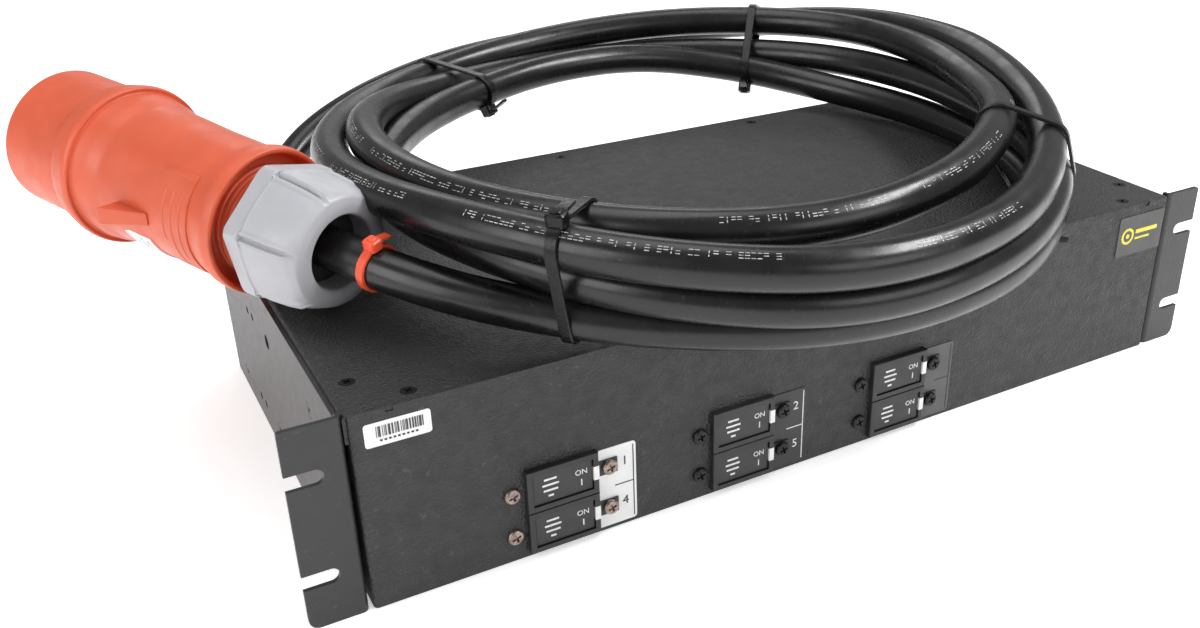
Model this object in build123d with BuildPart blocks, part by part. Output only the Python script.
from build123d import *
import os
from math import cos, pi, radians, sin, sqrt, tan

os.makedirs("parts", exist_ok=True)

# Two-unit rack power distribution box with six rocker breakers, six rear outlets
# and a heavy supply cord coiled on its cover. Millimetres, +Z up, front towards -Y.
# The origin is the middle of the underside.

# ---- enclosure ----
BODY_WIDTH = 433.0  # folded tray, across its side walls
BODY_DEPTH = 230.0
BODY_HEIGHT = 87.6
SHEET = 1.5
BEND_RADIUS = 2.0
FRONT = -BODY_DEPTH / 2
REAR = BODY_DEPTH / 2
PROUD = 3.0  # breaker frames in front and outlet flanges behind stand out this far
GAP = 0.1  # between sheets laid one on another
COVER_WIDTH = 436.0
COVER_LIP = 12.0
COVER_SHEET = 1.3
SHELF = 17.0  # return flanges under the cover
FLANGE = 14.0  # top and bottom flanges of the rear panel
FRONT_NOTCH = 201.0  # small notches in the front panel's edges, either side of the middle

# ---- rack brackets ----
RACK_WIDTH = 482.6
EAR_HEIGHT = 88.1
BRACKET_SHEET = 2.0
BRACKET_TOP = 85.5
EAR_SETBACK = 0.8
SLOT_PITCH = 44.45
SLOT_LOW = 21.8
SLOT_WIDTH = 6.6
SLOT_INNER_END = 230.4
BRACKET_HOLE_RADIUS = 2.0
BRACKET_HOLES = [(51, 61), (40, 62), (55, 12.3), (44, 13)]  # (y, z)
ACCESS_HOLE = (10, 62.5)
ACCESS_HOLE_RADIUS = 3.5
BRACKET_SCREWS = [(15, 14), (86, 11), (-65, 66)]

# ---- breakers ----
COLUMN_PITCH = 87.6
COLUMNS = [-135.2, -47.6, 40.0]
ROW_LOW = 12.5
ROW_PITCH = 20.0
FRAME_WIDTH = 32.0
FRAME_HEIGHT = 19.7
ROCKER_WIDTH = 26.7
ROCKER_HEIGHT = 14.3
ROCKER_PLAY = 0.2
ROCKER_PLATE = 3.2
ROCKER_SINK = 0.8  # rocker face below the frame's rim
ROCKER_AXIS = PROUD - ROCKER_SINK - ROCKER_PLATE / 2  # in front of the panel's face
HOUSING_WIDTH = 28.6
HOUSING_HEIGHT = 16.8
HOUSING_DEPTH = 52.0
PIVOT_RADIUS = 1.2
SCREW_OFFSET = 21.6
LABEL_OUTER = 34.5
LABEL_THICK = 0.3
LABEL_MIDDLE = 21.6
TAB_PROUD = 1.0  # the metal tab under each right-hand screw

# ---- outlets ----
OUTLET_COLUMNS = [-88.2, -0.6, 87.0]
OUTLET_ROWS = [25.0, 62.0]
OUTLET_BLADES = [(-6.5, 4.0), (6.5, 4.0), (0.0, -4.0)]
OUTLET_SCREW = 21.0  # from the outlet's middle
OUTLET_SHELL = (34.0, 27.0)
OUTLET_DEPTH = 32.0
MOAT_DEPTH = 20.0
SCREW_HEAD = 3.3

# ---- supply cord ----
CORD = 18.0
GLAND_X = -180.0
GLAND_Z = 45.0
GLAND_THREAD = 16.0
GLAND_HEX = 7.0  # thickness of the gland body's own hexagon
PLUG_MOUTH = Vector(-192.2, -30.8, 116.0)
PLUG_TURN = radians(117.6)
PLUG_RISE = radians(6.1)
LEAD_INSIDE = 20.0  # how far the cord reaches into the plug's nut
COIL_OUTER_CENTRE = (9.0, 21.5)
COIL_OUTER = (203.0, 212.0)
COIL_INNER_CENTRE = (16.0, 10.0)
COIL_INNER = (150.0, 148.0)
COIL_LOW = 89.8
COIL_HIGH = 148.0
COIL_ROUND = 15.0


def save(piece, name):
    """Label one finished piece and write it as its own node."""
    piece.label = name
    export_step(piece, f"parts/{name}.step")


def front_plane(x, z, proud=0.0):
    """A plane on the front panel that looks out of it, X to the right and Y up."""
    return Plane(origin=(x, FRONT - proud, z), x_dir=(1, 0, 0), z_dir=(0, -1, 0))


def rear_plane(x, z, proud=0.0):
    """A plane on the rear panel that looks out of it, Y up."""
    return Plane(origin=(x, REAR + proud, z), x_dir=(-1, 0, 0), z_dir=(0, 1, 0))


def side_plane(side, x, y, z):
    """A plane on a side wall that looks outwards; side is -1 on the left and 1 on the right."""
    return Plane(origin=(side * x, y, z), x_dir=(0, side, 0), z_dir=(side, 0, 0))


BREAKERS = [(x, ROW_LOW + ROW_PITCH * row) for row in (1, 0) for x in COLUMNS]
OUTLETS = [(x, z) for z in reversed(OUTLET_ROWS) for x in OUTLET_COLUMNS]

# ---- sheet metal ----
COVER_UNDER = BODY_HEIGHT - SHEET
COVER_SCREWS = [(-209, FRONT + 26), (209, FRONT + 26), (-191, FRONT + 8), (191, FRONT + 8)]
COVER_SCREWS += [(-209, REAR - 60), (209, REAR - 60)]
REAR_COVER_SCREWS = [(-150, REAR - 9), (-30, REAR - 9), (100, REAR - 9)]
SCREW_HOLE = 1.7

with BuildPart() as base_tray:
    with BuildSketch():
        Rectangle(BODY_WIDTH, BODY_DEPTH)
    extrude(amount=BODY_HEIGHT)
    front_corners = base_tray.edges().filter_by(Axis.Z).group_by(Axis.Y)[0]
    fillet(front_corners, radius=BEND_RADIUS)
    fillet(base_tray.edges().group_by(Axis.Z)[0].filter_by(Axis.X).sort_by(Axis.Y)[0], radius=0.8)
    with BuildSketch(Plane.XY.offset(SHEET)):
        with Locations((0, SHEET)):
            Rectangle(BODY_WIDTH - 2 * SHEET, BODY_DEPTH)
    extrude(amount=COVER_UNDER - 2 * SHEET, mode=Mode.SUBTRACT)
    with BuildSketch(Plane.XY.offset(COVER_UNDER - SHEET)):
        with Locations((0, SHELF)):
            Rectangle(BODY_WIDTH - 2 * SHELF, BODY_DEPTH)
    extrude(amount=SHEET, mode=Mode.SUBTRACT)
    with BuildSketch(Plane.XY.offset(COVER_UNDER - SHEET)):
        with Locations((0, REAR)):
            Rectangle(BODY_WIDTH - 2 * SHEET, 2 * (SHEET + GAP))
    extrude(amount=SHEET, mode=Mode.SUBTRACT)
    with BuildSketch(Plane.XY.offset(COVER_UNDER)):
        with Locations((0, SHEET)):
            Rectangle(BODY_WIDTH + 2, BODY_DEPTH)
    extrude(amount=SHEET, mode=Mode.SUBTRACT)
    for x, z in BREAKERS:
        with BuildSketch(front_plane(x, z)):
            Rectangle(HOUSING_WIDTH + 0.2, HOUSING_HEIGHT + 0.2)
        extrude(amount=-2 * SHEET, mode=Mode.SUBTRACT)
        for side in (-1, 1):
            with BuildSketch(front_plane(x + side * SCREW_OFFSET, z)):
                Circle(SCREW_HOLE + 0.1)
            extrude(amount=-2 * SHEET, mode=Mode.SUBTRACT)
    for x, y in COVER_SCREWS:
        with BuildSketch(Plane.XY.offset(COVER_UNDER)):
            with Locations((x, y)):
                Circle(SCREW_HOLE)
        extrude(amount=-2 * SHEET, mode=Mode.SUBTRACT)
    for side in (-1, 1):
        for y, z in BRACKET_SCREWS:
            with BuildSketch(side_plane(side, BODY_WIDTH / 2, y, z)):
                Circle(SCREW_HOLE)
            extrude(amount=-2 * SHEET, mode=Mode.SUBTRACT)
        with BuildSketch(front_plane(side * FRONT_NOTCH, BODY_HEIGHT)):
            Rectangle(3, 4)
        extrude(amount=-0.5, mode=Mode.SUBTRACT)
    with BuildSketch(front_plane(-FRONT_NOTCH, 0)):
        Rectangle(3, 2.4)
    extrude(amount=-0.5, mode=Mode.SUBTRACT)
save(base_tray.part, "base_tray")

with BuildPart() as top_cover:
    with BuildSketch(Plane.YZ.offset(-COVER_WIDTH / 2)):
        with Locations(((SHEET + GAP) / 2, BODY_HEIGHT - COVER_LIP / 2)):
            Rectangle(BODY_DEPTH - SHEET - GAP, COVER_LIP)
    extrude(amount=COVER_WIDTH)
    fillet(top_cover.edges().filter_by(Axis.Y).group_by(Axis.Z)[-1], radius=BEND_RADIUS)
    lip_inside = COVER_WIDTH - 2 * COVER_SHEET
    with BuildSketch(Plane.XY.offset(BODY_HEIGHT - COVER_LIP)):
        Rectangle(lip_inside, 2 * BODY_DEPTH)
    extrude(amount=COVER_LIP - SHEET, mode=Mode.SUBTRACT)
    for x, y in COVER_SCREWS + REAR_COVER_SCREWS:
        with Locations((x, y, BODY_HEIGHT)):
            CounterSinkHole(SCREW_HOLE, counter_sink_radius=SCREW_HEAD, depth=2 * SHEET)
save(top_cover.part, "top_cover")

REAR_PANEL_WIDTH = BODY_WIDTH - 2 * SHEET - 2 * GAP
REAR_PANEL_HEIGHT = COVER_UNDER - SHEET - 2 * GAP
REAR_PANEL_LOW = SHEET + GAP
with BuildPart() as rear_panel:
    with BuildSketch(Plane.XY.offset(REAR_PANEL_LOW)):
        with Locations((0, REAR - FLANGE / 2)):
            Rectangle(REAR_PANEL_WIDTH, FLANGE)
    extrude(amount=REAR_PANEL_HEIGHT)
    with BuildSketch(Plane.XY.offset(REAR_PANEL_LOW + SHEET)):
        with Locations((0, REAR - SHEET - FLANGE / 2)):
            Rectangle(2 * BODY_WIDTH, FLANGE)
    extrude(amount=REAR_PANEL_HEIGHT - 2 * SHEET, mode=Mode.SUBTRACT)
    with BuildSketch(Plane.XY.offset(REAR_PANEL_LOW + REAR_PANEL_HEIGHT / 2)):
        for side in (-1, 1):
            with Locations((side * BODY_WIDTH / 2, REAR - FLANGE)):
                Rectangle(2 * SHELF + 2, 2 * FLANGE - 2 * SHEET)
    extrude(amount=REAR_PANEL_HEIGHT / 2, mode=Mode.SUBTRACT)
    for x, z in OUTLETS:
        with BuildSketch(rear_plane(x, z)):
            Rectangle(OUTLET_SHELL[0] + 0.4, OUTLET_SHELL[1] + 0.4)
        extrude(amount=-2 * SHEET, mode=Mode.SUBTRACT)
        for side in (-1, 1):
            with BuildSketch(rear_plane(x + side * OUTLET_SCREW, z)):
                Circle(SCREW_HOLE)
            extrude(amount=-2 * SHEET, mode=Mode.SUBTRACT)
    with BuildSketch(rear_plane(GLAND_X, GLAND_Z)):
        Circle(GLAND_THREAD + 0.2)
    extrude(amount=-2 * SHEET, mode=Mode.SUBTRACT)
    for x, y in REAR_COVER_SCREWS:
        with BuildSketch(Plane.XY.offset(BODY_HEIGHT)):
            with Locations((x, y)):
                Circle(SCREW_HOLE)
        extrude(amount=-3 * SHEET - GAP, mode=Mode.SUBTRACT)
save(rear_panel.part, "rear_panel")


def rack_bracket(side):
    """An L-shaped bracket: a slotted ear in front and a full-depth flange on the side wall."""
    inner = COVER_WIDTH / 2 + GAP
    outer = RACK_WIDTH / 2
    ear_front = FRONT + EAR_SETBACK
    with BuildPart() as bracket:
        with BuildSketch():
            with BuildLine():
                Polyline(
                    (side * inner, REAR),
                    (side * inner, ear_front),
                    (side * outer, ear_front),
                    (side * outer, ear_front + BRACKET_SHEET),
                    (side * (inner + BRACKET_SHEET), ear_front + BRACKET_SHEET),
                    (side * (inner + BRACKET_SHEET), REAR),
                    close=True,
                )
            make_face()
        extrude(amount=EAR_HEIGHT)
        bend = bracket.edges().filter_by(Axis.Z).sort_by_distance((side * inner, ear_front, 40))
        fillet(bend[0], radius=2.7)
        with BuildSketch(Plane.XY.offset(BRACKET_TOP)):
            with Locations((side * (inner + 1), 5)):
                Rectangle(8, BODY_DEPTH)
        extrude(amount=2 * BRACKET_SHEET, mode=Mode.SUBTRACT)
        ear_edges = bracket.edges().filter_by(Axis.Y).filter_by_position(Axis.Y, FRONT, FRONT + 4)
        low_ear = ear_edges.group_by(Axis.Z)[0]
        fillet(low_ear.sort_by_distance((side * outer, ear_front, 0))[0], radius=4.5)
        top_ear = ear_edges.group_by(Axis.Z)[-1]
        fillet(top_ear.sort_by_distance((side * outer, ear_front, EAR_HEIGHT))[0], radius=1.5)
        for z in (SLOT_LOW, SLOT_LOW + SLOT_PITCH):
            with BuildSketch(front_plane(0, z)):
                with Locations((side * SLOT_INNER_END, 0)):
                    Circle(SLOT_WIDTH / 2)
                with Locations((side * (SLOT_INNER_END + 10), 0)):
                    Rectangle(20, SLOT_WIDTH)
            extrude(amount=-10, mode=Mode.SUBTRACT)
        for y, z in BRACKET_HOLES:
            with BuildSketch(side_plane(side, inner + BRACKET_SHEET, y, z)):
                Circle(BRACKET_HOLE_RADIUS)
            extrude(amount=-BRACKET_SHEET, mode=Mode.SUBTRACT)
        with BuildSketch(side_plane(side, inner + BRACKET_SHEET, *ACCESS_HOLE)):
            Circle(ACCESS_HOLE_RADIUS)
        extrude(amount=-BRACKET_SHEET, mode=Mode.SUBTRACT)
        for y, z in BRACKET_SCREWS:
            with Locations(side_plane(side, inner + BRACKET_SHEET, y, z)):
                CounterSinkHole(SCREW_HOLE, counter_sink_radius=3.7, depth=BRACKET_SHEET)
    return bracket.part


save(rack_bracket(-1), "left_rack_bracket")
save(rack_bracket(1), "right_rack_bracket")


# ---- screws ----
def flat_screws(places, head_radius, length):
    """Countersunk screws on the given planes, each with a crosshead recess."""
    shank = 1.5
    with BuildPart() as screws:
        for place in places:
            section = Plane(origin=place.origin, x_dir=place.x_dir, z_dir=-place.y_dir)
            with BuildSketch(section):
                with BuildLine():
                    Polyline(
                        (0, -0.05),
                        (head_radius, -0.05),
                        (head_radius, -0.25),
                        (shank, -0.25 - (head_radius - shank)),
                        (shank, -length),
                        (0, -length),
                        close=True,
                    )
                make_face()
            revolve(axis=Axis(place.origin, place.z_dir))
            with BuildSketch(place):
                Rectangle(3.6, 0.9, rotation=45)
                Rectangle(3.6, 0.9, rotation=-45)
            extrude(amount=-1.0, mode=Mode.SUBTRACT)
    return screws.part


PAN_HEAD = 3.5
PAN_HEIGHT = 1.9


def pan_screws(places, length):
    """Pan-head screws on the given planes, each with a crosshead recess."""
    with BuildPart() as screws:
        for place in places:
            with BuildSketch(place):
                Circle(PAN_HEAD)
            extrude(amount=PAN_HEIGHT)
            above = place.origin + place.z_dir * 20
            rims = screws.edges(Select.LAST).filter_by(GeomType.CIRCLE)
            fillet(rims.sort_by_distance(above)[0], radius=1.1)
            with BuildSketch(place):
                Circle(1.5)
            extrude(amount=-length)
            with BuildSketch(place.offset(PAN_HEIGHT)):
                Rectangle(4.0, 0.9, rotation=20)
                Rectangle(4.0, 0.9, rotation=110)
            extrude(amount=-1.2, mode=Mode.SUBTRACT)
    return screws.part


cover_places = [Plane(origin=(x, y, BODY_HEIGHT)) for x, y in COVER_SCREWS + REAR_COVER_SCREWS]
save(flat_screws(cover_places, 2.9, 7.0), "cover_screws")

bracket_places = []
for side in (-1, 1):
    for y, z in BRACKET_SCREWS:
        bracket_places.append(side_plane(side, COVER_WIDTH / 2 + GAP + BRACKET_SHEET, y, z))
save(flat_screws(bracket_places, 3.3, 9.0), "bracket_screws")

left_column = []
other_columns = []
for x, z in BREAKERS:
    column = left_column if x == COLUMNS[0] else other_columns
    column.append(front_plane(x - SCREW_OFFSET, z))
    column.append(front_plane(x + SCREW_OFFSET, z, proud=TAB_PROUD))
save(pan_screws(left_column, 8.0), "breaker_screws_plain")
save(pan_screws(other_columns, 8.0), "breaker_screws_black")

outlet_places = []
for x, z in OUTLETS:
    outlet_places += [rear_plane(x + side * OUTLET_SCREW, z, proud=PROUD) for side in (-1, 1)]
save(flat_screws(outlet_places, 2.9, 9.0), "outlet_screws")


# ---- breakers ----
def breaker_housing(x, z):
    """Housing with its front frame, the well for the rocker and the mounting ears."""
    frame_side = (FRAME_WIDTH - ROCKER_WIDTH) / 2
    with BuildPart() as housing:
        with BuildSketch(front_plane(x, z)):
            Rectangle(FRAME_WIDTH, FRAME_HEIGHT)
        frame = extrude(amount=PROUD)
        fillet(frame.faces().sort_by(Axis.Y)[0].edges(), radius=0.5)
        with BuildSketch(front_plane(x, z)):
            Rectangle(HOUSING_WIDTH, HOUSING_HEIGHT)
        extrude(amount=-HOUSING_DEPTH)
        with BuildSketch(front_plane(x, z, proud=0.4)):
            with Locations((FRAME_WIDTH / 2 + 4, 0)):
                Rectangle(11, 7.1)
        extrude(amount=0.6)
        with BuildSketch(front_plane(x, z, proud=-SHEET - GAP)):
            for side in (-1, 1):
                with Locations((side * 19, 0)):
                    Rectangle(14, 7)
        extrude(amount=-1.6)
        with BuildSketch(front_plane(x, z)):
            with Locations((-SCREW_OFFSET, 0), (SCREW_OFFSET, 0)):
                Circle(SCREW_HOLE)
        extrude(amount=8, both=True, mode=Mode.SUBTRACT)
        with BuildSketch(front_plane(x, z, proud=PROUD)):
            Rectangle(ROCKER_WIDTH + 2 * ROCKER_PLAY, ROCKER_HEIGHT + 2 * ROCKER_PLAY)
        extrude(amount=-PROUD - 6, mode=Mode.SUBTRACT)
        with BuildSketch(front_plane(x, z, proud=0.6)):
            with Locations((FRAME_WIDTH / 2 - frame_side / 2, 0)):
                Rectangle(frame_side + 0.6, 6.8)
        extrude(amount=PROUD, mode=Mode.SUBTRACT)
        with BuildSketch(Plane(origin=(x, FRONT - ROCKER_AXIS, z))):
            Circle(PIVOT_RADIUS + 0.05)
        extrude(amount=ROCKER_HEIGHT / 2 + 1.3, both=True, mode=Mode.SUBTRACT)
    return housing.part


def breaker_rocker(x, z):
    """Flat rocker with a stem behind it and a pivot stub above and below."""
    with BuildPart() as rocker:
        with BuildSketch(front_plane(x, z, proud=PROUD - ROCKER_SINK - ROCKER_PLATE)):
            Rectangle(ROCKER_WIDTH, ROCKER_HEIGHT)
        plate = extrude(amount=ROCKER_PLATE)
        fillet(plate.faces().sort_by(Axis.Y)[0].edges(), radius=0.4)
        with BuildSketch(front_plane(x, z)):
            Rectangle(5, ROCKER_HEIGHT - 3)
        extrude(amount=-4.5)
        with BuildSketch(Plane(origin=(x, FRONT - ROCKER_AXIS, z))):
            Circle(PIVOT_RADIUS)
        extrude(amount=ROCKER_HEIGHT / 2 + 1.1, both=True)
    return rocker.part


for number, (x, z) in enumerate(BREAKERS, start=1):
    save(breaker_housing(x, z), f"breaker_{number}_housing")
    save(breaker_rocker(x, z), f"breaker_{number}_rocker")

with BuildPart() as breaker_flags:
    for x, z in BREAKERS:
        with BuildSketch(front_plane(x, z, proud=0.7)):
            with Locations((FRAME_WIDTH / 2 - 1.1, 0)):
                Rectangle(2.4, 6.5)
        extrude(amount=2.2)
save(breaker_flags.part, "breaker_flags")

with BuildPart() as breaker_terminals:
    for x, z in BREAKERS:
        with BuildSketch(front_plane(x, z, proud=-HOUSING_DEPTH)):
            with Locations((-8, 0), (8, 0)):
                Rectangle(6.3, 0.8)
        extrude(amount=-8)
save(breaker_terminals.part, "breaker_terminals")

# ---- labels on the front ----
for x, name in zip(COLUMNS, ("left", "middle", "right")):
    with BuildPart() as column_label:
        with BuildSketch(front_plane(x, 0)):
            with Locations(((FRAME_WIDTH / 2 + 0.3 + LABEL_OUTER) / 2, LABEL_MIDDLE)):
                RectangleRounded(LABEL_OUTER - FRAME_WIDTH / 2 - 0.3, 38.7, 1.5)
            with Locations((SCREW_OFFSET, ROW_LOW), (SCREW_OFFSET, ROW_LOW + ROW_PITCH)):
                Circle(2.2, mode=Mode.SUBTRACT)
        extrude(amount=LABEL_THICK)
    save(column_label.part, f"column_label_{name}")

with BuildPart() as serial_label:
    with BuildSketch(front_plane(-198.7, 77.5)):
        RectangleRounded(25.5, 10.0, 1.2)
    extrude(amount=0.2)
save(serial_label.part, "serial_label")

with BuildPart() as maker_badge:
    with BuildSketch(front_plane(198.7, 71)):
        RectangleRounded(33, 22, 1.0)
    extrude(amount=LABEL_THICK)
save(maker_badge.part, "maker_badge")


# ---- outlets ----
def outlet_body(x, z):
    """Panel outlet: a flange, a shell, and a core standing in a narrow moat."""
    with BuildPart() as body:
        with BuildSketch(rear_plane(x, z)):
            RectangleRounded(50, 32, 3)
        flange = extrude(amount=PROUD)
        fillet(flange.faces().sort_by(Axis.Y)[-1].edges(), radius=0.6)
        with BuildSketch(rear_plane(x, z)):
            Rectangle(*OUTLET_SHELL)
        extrude(amount=-OUTLET_DEPTH)
        with BuildSketch(rear_plane(x, z, proud=PROUD)):
            RectangleRounded(30.6, 24.6, 2)
            RectangleRounded(23.8, 17.8, 1.5, mode=Mode.SUBTRACT)
        extrude(amount=-MOAT_DEPTH, mode=Mode.SUBTRACT)
        with BuildSketch(rear_plane(x, z, proud=PROUD)):
            with Locations(*OUTLET_BLADES):
                Rectangle(8.4, 2.6)
        extrude(amount=-40, mode=Mode.SUBTRACT)
        for side in (-1, 1):
            with Locations(rear_plane(x + side * OUTLET_SCREW, z, proud=PROUD)):
                CounterSinkHole(SCREW_HOLE, counter_sink_radius=SCREW_HEAD, depth=2 * PROUD)
    return body.part


for number, (x, z) in enumerate(OUTLETS, start=1):
    save(outlet_body(x, z), f"outlet_{number}_body")

TAB_END = REAR - 38.0
with BuildPart() as outlet_contacts:
    for x, z in OUTLETS:
        with BuildSketch(rear_plane(x, z, proud=-12)):
            with Locations(*OUTLET_BLADES):
                Rectangle(8.2, 2.4)
        extrude(amount=-20)
        with BuildSketch(rear_plane(x, z, proud=-OUTLET_DEPTH)):
            with Locations(*OUTLET_BLADES):
                Rectangle(6.3, 0.8)
        extrude(amount=-6)
save(outlet_contacts.part, "outlet_contacts")


def contact_bar(blade, side):
    """Copper comb that joins one tab of every outlet: a strip for each row, fingers and a link."""
    offset_x, offset_z = OUTLET_BLADES[blade]
    level = 10.0 if offset_z > 0 else -10.0
    middle = OUTLET_COLUMNS[1] + side * 10
    width = 2 * COLUMN_PITCH + 28
    link_x = middle + side * (width / 2 - 2)
    with BuildPart() as bar:
        for row in OUTLET_ROWS:
            with BuildSketch(Plane.XZ.offset(-TAB_END)):
                with Locations((middle, row + level)):
                    Rectangle(width, 4)
                for x in OUTLET_COLUMNS:
                    with Locations((x - offset_x, row + (level + offset_z) / 2)):
                        Rectangle(6, abs(level - offset_z) + 2)
            extrude(amount=1.5)
        with BuildSketch(Plane.XZ.offset(-TAB_END)):
            with Locations((link_x, sum(OUTLET_ROWS) / 2 + level)):
                Rectangle(4, OUTLET_ROWS[1] - OUTLET_ROWS[0])
        extrude(amount=1.5)
    return bar.part


save(contact_bar(1, side=-1), "neutral_bar")
save(contact_bar(2, side=1), "earth_bar")

# ---- rear gland and inlet terminals ----
gland_axis = Axis((GLAND_X, REAR, GLAND_Z), (0, 1, 0))
CORD_HOLE = CORD / 2 + 0.3
with BuildPart() as cable_gland_body:
    with BuildSketch(rear_plane(GLAND_X, GLAND_Z)):
        RegularPolygon(21, 6)
    extrude(amount=GLAND_HEX)
    with BuildSketch(rear_plane(GLAND_X, GLAND_Z)):
        Circle(15)
    extrude(amount=24)
    with BuildSketch(rear_plane(GLAND_X, GLAND_Z)):
        Circle(GLAND_THREAD)
    extrude(amount=-12)
    with BuildSketch(rear_plane(GLAND_X, GLAND_Z)):
        Circle(CORD_HOLE)
    extrude(amount=60, both=True, mode=Mode.SUBTRACT)
save(cable_gland_body.part, "cable_gland_body")

with BuildPart() as cable_gland_locknut:
    with BuildSketch(rear_plane(GLAND_X, GLAND_Z, proud=-SHEET)):
        RegularPolygon(22.5, 6)
        Circle(GLAND_THREAD + 0.05, mode=Mode.SUBTRACT)
    extrude(amount=-6)
save(cable_gland_locknut.part, "cable_gland_locknut")

with BuildPart() as cable_gland_cap:
    with BuildSketch(rear_plane(GLAND_X, GLAND_Z, proud=GLAND_HEX + 0.5)):
        RegularPolygon(20.5, 6)
    extrude(amount=17)
    with BuildSketch(rear_plane(GLAND_X, GLAND_Z, proud=24.5)):
        Circle(17.5)
    extrude(amount=10, taper=20)
    with BuildSketch(rear_plane(GLAND_X, GLAND_Z, proud=GLAND_HEX + 0.5)):
        Circle(15.1)
    extrude(amount=19, mode=Mode.SUBTRACT)
    with BuildSketch(rear_plane(GLAND_X, GLAND_Z)):
        Circle(CORD_HOLE)
    extrude(amount=60, mode=Mode.SUBTRACT)
save(cable_gland_cap.part, "cable_gland_cap")

with BuildPart() as cable_gland_seal:
    with BuildSketch(rear_plane(GLAND_X, GLAND_Z, proud=24.1)):
        Circle(14.8)
        Circle(CORD_HOLE - 0.1, mode=Mode.SUBTRACT)
    extrude(amount=2.2)
save(cable_gland_seal.part, "cable_gland_seal")

BLOCK_Y = 45.0
BLOCK_Z = 30.0
PORT_PITCH = 9.0
PORTS = [GLAND_X + PORT_PITCH * (i - 2) for i in range(5)]
with BuildPart() as terminal_block:
    with BuildSketch(Plane.XY.offset(SHEET)):
        with Locations((GLAND_X, BLOCK_Y)):
            Rectangle(5 * PORT_PITCH + 5, 24)
    extrude(amount=42)
    for x in PORTS:
        with BuildSketch(Plane.XZ.offset(-BLOCK_Y - 12)):
            with Locations((x, BLOCK_Z)):
                Circle(3.2)
        extrude(amount=24, mode=Mode.SUBTRACT)
        with BuildSketch(Plane.XY.offset(SHEET + 42)):
            with Locations((x, BLOCK_Y - 5), (x, BLOCK_Y + 5)):
                Circle(2.3)
        extrude(amount=-8, mode=Mode.SUBTRACT)
save(terminal_block.part, "terminal_block")

with BuildPart() as terminal_screws:
    for x in PORTS:
        with BuildSketch(Plane.XY.offset(SHEET + 41)):
            with Locations((x, BLOCK_Y - 5), (x, BLOCK_Y + 5)):
                Circle(2.2)
                Rectangle(3.6, 0.8, mode=Mode.SUBTRACT)
        extrude(amount=-1.2)
        with BuildSketch(Plane.XY.offset(SHEET + 39.8)):
            with Locations((x, BLOCK_Y - 5), (x, BLOCK_Y + 5)):
                Circle(2.2)
        extrude(amount=-4)
save(terminal_screws.part, "terminal_screws")

EARTH_STUD = (-140, 60)
with BuildPart() as earth_stud:
    with BuildSketch(Plane.XY.offset(SHEET)):
        with Locations(EARTH_STUD):
            Circle(2.5)
    extrude(amount=16)
save(earth_stud.part, "earth_stud")

with BuildPart() as earth_stud_nuts:
    for level in (3.0, 8.5):
        with BuildSketch(Plane.XY.offset(SHEET + level)):
            with Locations(EARTH_STUD):
                RegularPolygon(4.5, 6)
                Circle(2.55, mode=Mode.SUBTRACT)
        extrude(amount=4)
save(earth_stud_nuts.part, "earth_stud_nuts")


# ---- wires and cords ----
def arc_radii(route):
    """The arc at each corner of a route: 0.45 of its shorter run over the tangent of half the turn."""
    radii = []
    for before, corner, after in zip(route, route[1:], route[2:]):
        first = Vector(*corner) - Vector(*before)
        second = Vector(*after) - Vector(*corner)
        turn = radians(first.get_angle(second))
        radii.append(0.45 * min(first.length, second.length) / tan(turn / 2))
    return radii


def round_tube(route, diameter, radii):
    """A round tube along straight runs joined by tangent arcs."""
    start = Vector(*route[0])
    heading = Vector(*route[1]) - start
    with BuildPart() as tube:
        with BuildLine() as path:
            if len(route) == 2:
                Line(*route)
            else:
                FilletPolyline(*route, radius=radii)
        with BuildSketch(Plane(origin=start, z_dir=heading)):
            Circle(diameter / 2)
        centre_line = path.wires()[0]
        sweep(path=centre_line)
    return tube.part, centre_line.length


def wire_group(routes, diameter, bend):
    """Several wires in one node, every corner bent to the same radius."""
    wires = []
    for route in routes:
        wires.append(round_tube(route, diameter, [bend] * (len(route) - 2))[0])
    with BuildPart() as group:
        for wire in wires:
            add(wire)
    return group.part


load_routes = []
for number, ((x, z), (outlet_x, outlet_z)) in enumerate(zip(BREAKERS, OUTLETS)):
    lane = -30 + 9 * number
    blade_x = outlet_x - OUTLET_BLADES[0][0]
    blade_z = outlet_z + OUTLET_BLADES[0][1]
    start = (x + 8, FRONT + HOUSING_DEPTH + 8.2, z)
    load_routes.append(
        [start, (x + 8, lane, z), (blade_x, lane, blade_z), (blade_x, TAB_END - 0.2, blade_z)]
    )
save(wire_group(load_routes, 4.0, 5.0), "load_wires")

feed_routes = []
for number, (port, (x, z)) in enumerate(zip(PORTS, BREAKERS[:3])):
    lane = 9 * number - 4
    drop = FRONT + HOUSING_DEPTH + 12
    feed_routes.append(
        [
            (port, BLOCK_Y - 12.2, BLOCK_Z),
            (port, lane, BLOCK_Z),
            (port, lane, 76),
            (x - 8, lane, 76),
            (x - 8, drop, 76),
            (x - 8, drop, z + 3),
        ]
    )
save(wire_group(feed_routes, 5.0, 6.0), "feed_wires")

core_routes = []
for number, x in enumerate(PORTS):
    start = (GLAND_X + 3.2 * (number - 2), REAR - 14.5, GLAND_Z)
    core_routes.append([start, (x, BLOCK_Y + 12.5, BLOCK_Z)])
save(wire_group(core_routes, 2.8, 1.0), "supply_cores")

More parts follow.
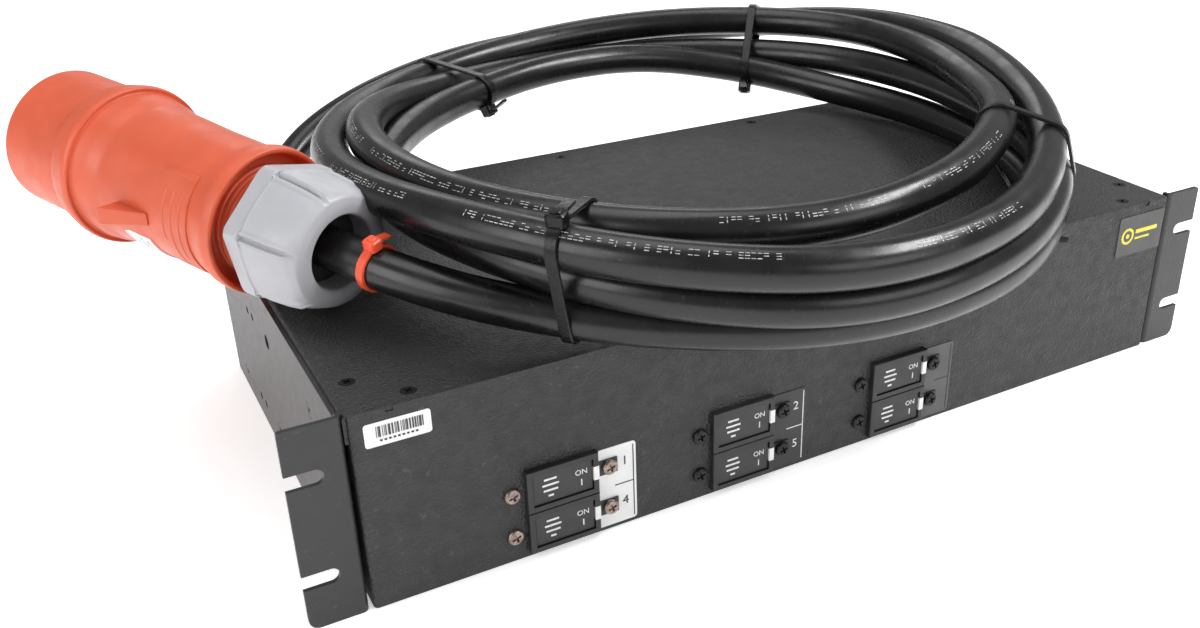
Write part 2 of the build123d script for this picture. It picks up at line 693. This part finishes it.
INLET_ROUTE = [
    (GLAND_X, REAR - 12, GLAND_Z),
    (GLAND_X, 180, GLAND_Z),
    (-170, 222, 56),
    (-143, 252, 75),
    (-100, 266, 92),
    (-48, 267, 106),
    (4, 256, 115),
    (51, 236, 119),
    (91, 213, 120),
]
inlet_radii = arc_radii(INLET_ROUTE)
inlet, inlet_length = round_tube(INLET_ROUTE, CORD, inlet_radii)
save(inlet, "cord_inlet_lead")
print("inlet lead radii", [round(radius) for radius in inlet_radii], "length", round(inlet_length))
print("inlet lead volume ratio", round(inlet.volume / (pi * CORD**2 / 4 * inlet_length), 4))

plug_dir = Vector(cos(PLUG_RISE) * cos(PLUG_TURN), cos(PLUG_RISE) * sin(PLUG_TURN), sin(PLUG_RISE))
across = Vector(sin(PLUG_TURN), -cos(PLUG_TURN), 0)
plug_section = Plane(origin=PLUG_MOUTH, x_dir=across, z_dir=across.cross(plug_dir))
plug_axis = Axis(PLUG_MOUTH, plug_dir)


def plug_plane(station):
    """A plane across the plug, looking towards its pins, at a distance from the nut's mouth."""
    return Plane(origin=PLUG_MOUTH + plug_dir * station, x_dir=across, z_dir=plug_dir)


LEAD_END = -34.0
with BuildPart() as cord_plug_lead:
    with BuildSketch(plug_plane(LEAD_END)):
        Circle(CORD / 2)
    extrude(amount=LEAD_INSIDE - LEAD_END)
save(cord_plug_lead.part, "cord_plug_lead")

with BuildPart() as cord_coil:
    with BuildSketch(Plane.XY.offset(COIL_LOW)):
        with Locations(COIL_OUTER_CENTRE):
            Ellipse(*COIL_OUTER)
        with Locations(COIL_INNER_CENTRE):
            Ellipse(*COIL_INNER, mode=Mode.SUBTRACT)
    extrude(amount=COIL_HIGH - COIL_LOW)
    fillet(cord_coil.edges().filter_by(GeomType.ELLIPSE), radius=COIL_ROUND)
    with BuildSketch(plug_plane(-6)):
        Circle(34)
    extrude(amount=80, mode=Mode.SUBTRACT)
    with BuildSketch(plug_plane(LEAD_END)):
        Circle(13)
    extrude(amount=40, mode=Mode.SUBTRACT)
save(cord_coil.part, "cord_coil")


def reach(direction, centre, semi_axes):
    """Distance from the outer ellipse's centre to an ellipse, in a direction."""
    start = Vector(*COIL_OUTER_CENTRE) - Vector(*centre)
    a = (direction.X / semi_axes[0]) ** 2 + (direction.Y / semi_axes[1]) ** 2
    b = start.X * direction.X / semi_axes[0] ** 2 + start.Y * direction.Y / semi_axes[1] ** 2
    c = (start.X / semi_axes[0]) ** 2 + (start.Y / semi_axes[1]) ** 2 - 1
    return (sqrt(b * b - a * c) - b) / a


TIE_ANGLES = [223, 120, 50, 308]
with BuildPart() as coil_ties:
    for angle in TIE_ANGLES:
        outward = Vector(cos(radians(angle)), sin(radians(angle)), 0)
        near = reach(outward, COIL_INNER_CENTRE, COIL_INNER) - 2.0
        far = reach(outward, COIL_OUTER_CENTRE, COIL_OUTER) + 2.0
        height = COIL_HIGH - COIL_LOW
        place = Vector(*COIL_OUTER_CENTRE, (COIL_LOW + COIL_HIGH) / 2) + outward * (near + far) / 2
        around = Plane(origin=place, x_dir=outward, z_dir=outward.cross(Vector(0, 0, 1)))
        with BuildSketch(around):
            RectangleRounded(far - near + 3, height + 3, 9)
            RectangleRounded(far - near, height + 0.4, 8, mode=Mode.SUBTRACT)
        extrude(amount=2.5, both=True)
save(coil_ties.part, "coil_ties")

# ---- plug ----
def turned(*outline):
    """A body turned about the plug's axis from (radius, station) points."""
    with BuildPart() as body:
        with BuildSketch(plug_section):
            with BuildLine():
                Polyline(*outline, close=True)
            make_face()
        revolve(axis=plug_axis)
    return body.part


NUT_FLANGE_STATION = 25.0
NUT_FLANGE = 8.0
NUT_TURN = 17.0
NUT_BORE = 16.3
with BuildPart() as plug_gland_nut:
    with BuildSketch(plug_plane(NUT_FLANGE_STATION)):
        RegularPolygon(31, 6, rotation=NUT_TURN)
    extrude(amount=NUT_FLANGE)
    with BuildSketch(plug_plane(NUT_FLANGE_STATION)):
        RegularPolygon(29, 6, rotation=NUT_TURN)
    extrude(amount=-28, taper=9)
    with BuildSketch(plug_plane(0)):
        Circle(NUT_BORE)
    extrude(amount=60, both=True, mode=Mode.SUBTRACT)
save(plug_gland_nut.part, "plug_gland_nut")

with BuildPart() as plug_seal:
    with BuildSketch(plug_plane(8)):
        Circle(NUT_BORE - GAP)
        Circle(CORD / 2 + GAP, mode=Mode.SUBTRACT)
    extrude(amount=11.8)
save(plug_seal.part, "plug_seal")

save(
    turned(
        (9.3, 20.2), (16.0, 20.2), (16.0, 34.0), (24.0, 34.0), (24.0, 46.0), (29.4, 46.0),
        (30.6, 39.4), (32.3, 39.4), (32.8, 46.0), (30.2, 54.0), (30.6, 80.0), (32.0, 112.0),
        (34.2, 126.0), (36.6, 126.0), (37.0, 129.0), (34.5, 140.0), (29.6, 140.0), (29.6, 118.0),
        (26.0, 60.0), (12.0, 52.0), (9.3, 52.0),
    ),
    "plug_housing",
)
save(
    turned(
        (29.4, 120.2), (29.4, 140.2), (32.6, 140.2), (32.3, 176.0), (29.4, 176.0),
        (28.9, 142.0), (27.0, 130.0), (27.0, 120.2),
    ),
    "plug_sleeve",
)
save(turned((0, 116.0), (26.0, 116.0), (26.8, 120.2), (26.8, 132.0), (0, 132.0)), "plug_pin_carrier")

PIN_CIRCLE = 17.5
with BuildPart() as plug_pins:
    for number in range(5):
        turn = 2 * pi * number / 5
        radius = 4.0 if number == 0 else 3.0
        with BuildSketch(plug_plane(132)):
            with Locations((PIN_CIRCLE * sin(turn), -PIN_CIRCLE * cos(turn))):
                Circle(radius)
        extrude(amount=38)
        fillet(plug_pins.edges(Select.LAST).sort_by(plug_axis)[-1], radius=1.5)
save(plug_pins.part, "plug_pins")

TIE_STATION = -24.0
with BuildPart() as plug_tie:
    with BuildSketch(plug_plane(TIE_STATION)):
        Circle(CORD / 2 + 1.5)
        Circle(CORD / 2 + 0.2, mode=Mode.SUBTRACT)
    extrude(amount=4.5)
save(plug_tie.part, "plug_tie")
